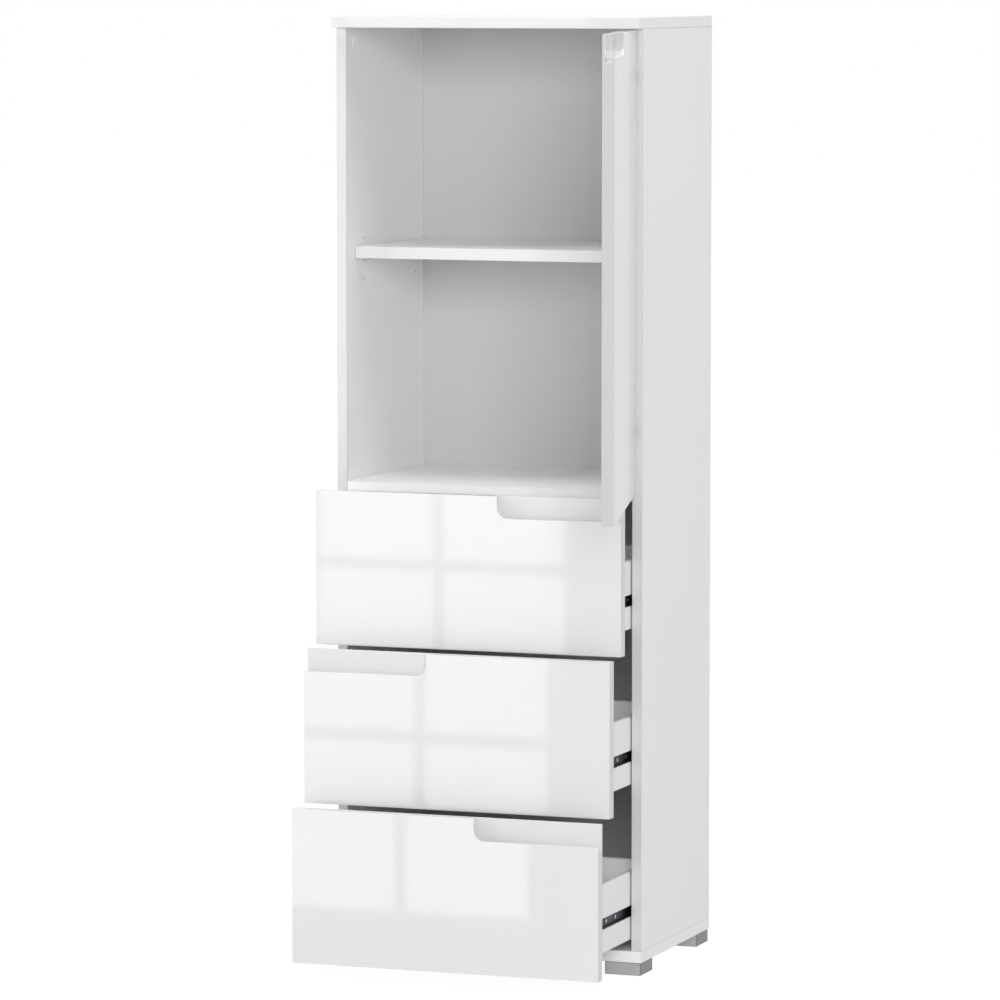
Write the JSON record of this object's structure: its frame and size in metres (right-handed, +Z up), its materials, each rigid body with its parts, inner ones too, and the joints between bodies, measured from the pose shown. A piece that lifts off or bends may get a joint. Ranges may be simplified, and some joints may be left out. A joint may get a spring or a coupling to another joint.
{
  "type": "column cabinet",
  "caption": "Tall narrow white cabinet on block feet: a door compartment with a loose shelf above drawers on ball runners, finger pulls cut into the fronts' corners.",
  "frame": {"origin": "on the floor, at the middle of the rectangle that the four feet stand on", "axes": "+X to the cabinet's right as seen from the front, +Y to the wall behind it, +Z up"},
  "size_m": [0.6239, 0.8287, 1.469],
  "materials": {
    "foot_plastic": "satin silver plastic or aluminium block",
    "gloss_front": "high-gloss white foil on board",
    "gloss_top": "smooth white",
    "hardboard": "white lacquered hardboard",
    "cap_plastic": "plain white plastic",
    "beech": "plain beech",
    "rail_steel": "dark zinc-plated steel",
    "drawer_board": "white foil on board",
    "white_board": "white melamine with a fine wood-pore emboss",
    "nickel": "nickel-plated",
    "zinc": "bright zinc-plated"
  },
  "bodies": {
    "carcass": {"top_panel": "gloss_top", "left_side_panel": "white_board", "right_side_panel": "white_board", "bottom_panel": "white_board", "divider_panel": "white_board", "back_panel": "hardboard", "adjustable_shelf": "white_board", "foot_front_left": "foot_plastic", "foot_front_right": "foot_plastic", "foot_back_left": "foot_plastic", "foot_back_right": "foot_plastic", "foot_screws": "zinc", "shelf_pins": "zinc", "cam_locks": "zinc", "cam_caps": "cap_plastic", "cam_bolts": "zinc", "dowels": "beech", "back_panel_nails": "zinc", "upper_cabinet_rails": "rail_steel", "middle_cabinet_rails": "rail_steel", "lower_cabinet_rails": "rail_steel", "cabinet_rail_screws": "zinc", "hinge_plates": "nickel", "hinge_plate_screws": "nickel", "hinge_arms": "nickel", "hinge_arm_pins": "nickel"},
    "hinge_links": {"hinge_links": "nickel"},
    "door": {"door_panel": "gloss_front", "hinge_cups": "nickel", "hinge_cup_pins": "nickel", "hinge_cup_screws": "nickel"},
    "upper_drawer": {"upper_drawer_front": "gloss_front", "upper_drawer_left_side": "drawer_board", "upper_drawer_right_side": "drawer_board", "upper_drawer_back": "drawer_board", "upper_drawer_base": "hardboard", "upper_drawer_rails": "rail_steel", "upper_drawer_fittings": "zinc", "upper_drawer_screws": "zinc"},
    "upper_ball_cages": {"upper_drawer_ball_cages": "zinc"},
    "middle_drawer": {"middle_drawer_front": "gloss_front", "middle_drawer_left_side": "drawer_board", "middle_drawer_right_side": "drawer_board", "middle_drawer_back": "drawer_board", "middle_drawer_base": "hardboard", "middle_drawer_rails": "rail_steel", "middle_drawer_fittings": "zinc", "middle_drawer_screws": "zinc"},
    "middle_ball_cages": {"middle_drawer_ball_cages": "zinc"},
    "lower_drawer": {"lower_drawer_front": "gloss_front", "lower_drawer_left_side": "drawer_board", "lower_drawer_right_side": "drawer_board", "lower_drawer_back": "drawer_board", "lower_drawer_base": "hardboard", "lower_drawer_rails": "rail_steel", "lower_drawer_fittings": "zinc", "lower_drawer_screws": "zinc"},
    "lower_ball_cages": {"lower_drawer_ball_cages": "zinc"}
  },
  "joints": [
    {"name": "hinge_link_swing", "type": "hinge", "parent": "carcass", "child": "hinge_links", "pos_m": [0.2173, -0.1736, 1.0975], "axis": [0, 0, 1], "range_deg": [0, 62.4]},
    {"name": "door_swing", "type": "hinge", "parent": "hinge_links", "child": "door", "pos_m": [0.22834, -0.19118, 1.0975], "axis": [0, 0, 1], "range_deg": [-167.7, 0]},
    {"name": "upper_drawer_slide", "type": "slide", "parent": "carcass", "child": "upper_drawer", "axis": [0, -1, 0], "range_m": [-0.073, 0.152]},
    {"name": "upper_cage_slide", "type": "slide", "parent": "carcass", "child": "upper_ball_cages", "axis": [0, -1, 0], "range_m": [-0.0365, 0.076]},
    {"name": "middle_drawer_slide", "type": "slide", "parent": "carcass", "child": "middle_drawer", "axis": [0, -1, 0], "range_m": [-0.124, 0.101]},
    {"name": "middle_cage_slide", "type": "slide", "parent": "carcass", "child": "middle_ball_cages", "axis": [0, -1, 0], "range_m": [-0.062, 0.0505]},
    {"name": "lower_drawer_slide", "type": "slide", "parent": "carcass", "child": "lower_drawer", "axis": [0, -1, 0], "range_m": [-0.175, 0.05]},
    {"name": "lower_cage_slide", "type": "slide", "parent": "carcass", "child": "lower_ball_cages", "axis": [0, -1, 0], "range_m": [-0.0875, 0.025]}
  ],
  "couplings": [
    {"joint": "hinge_link_swing", "follows": "door_swing", "ratio": -0.3715},
    {"joint": "upper_cage_slide", "follows": "upper_drawer_slide", "ratio": 0.5},
    {"joint": "middle_cage_slide", "follows": "middle_drawer_slide", "ratio": 0.5},
    {"joint": "lower_cage_slide", "follows": "lower_drawer_slide", "ratio": 0.5}
  ]
}
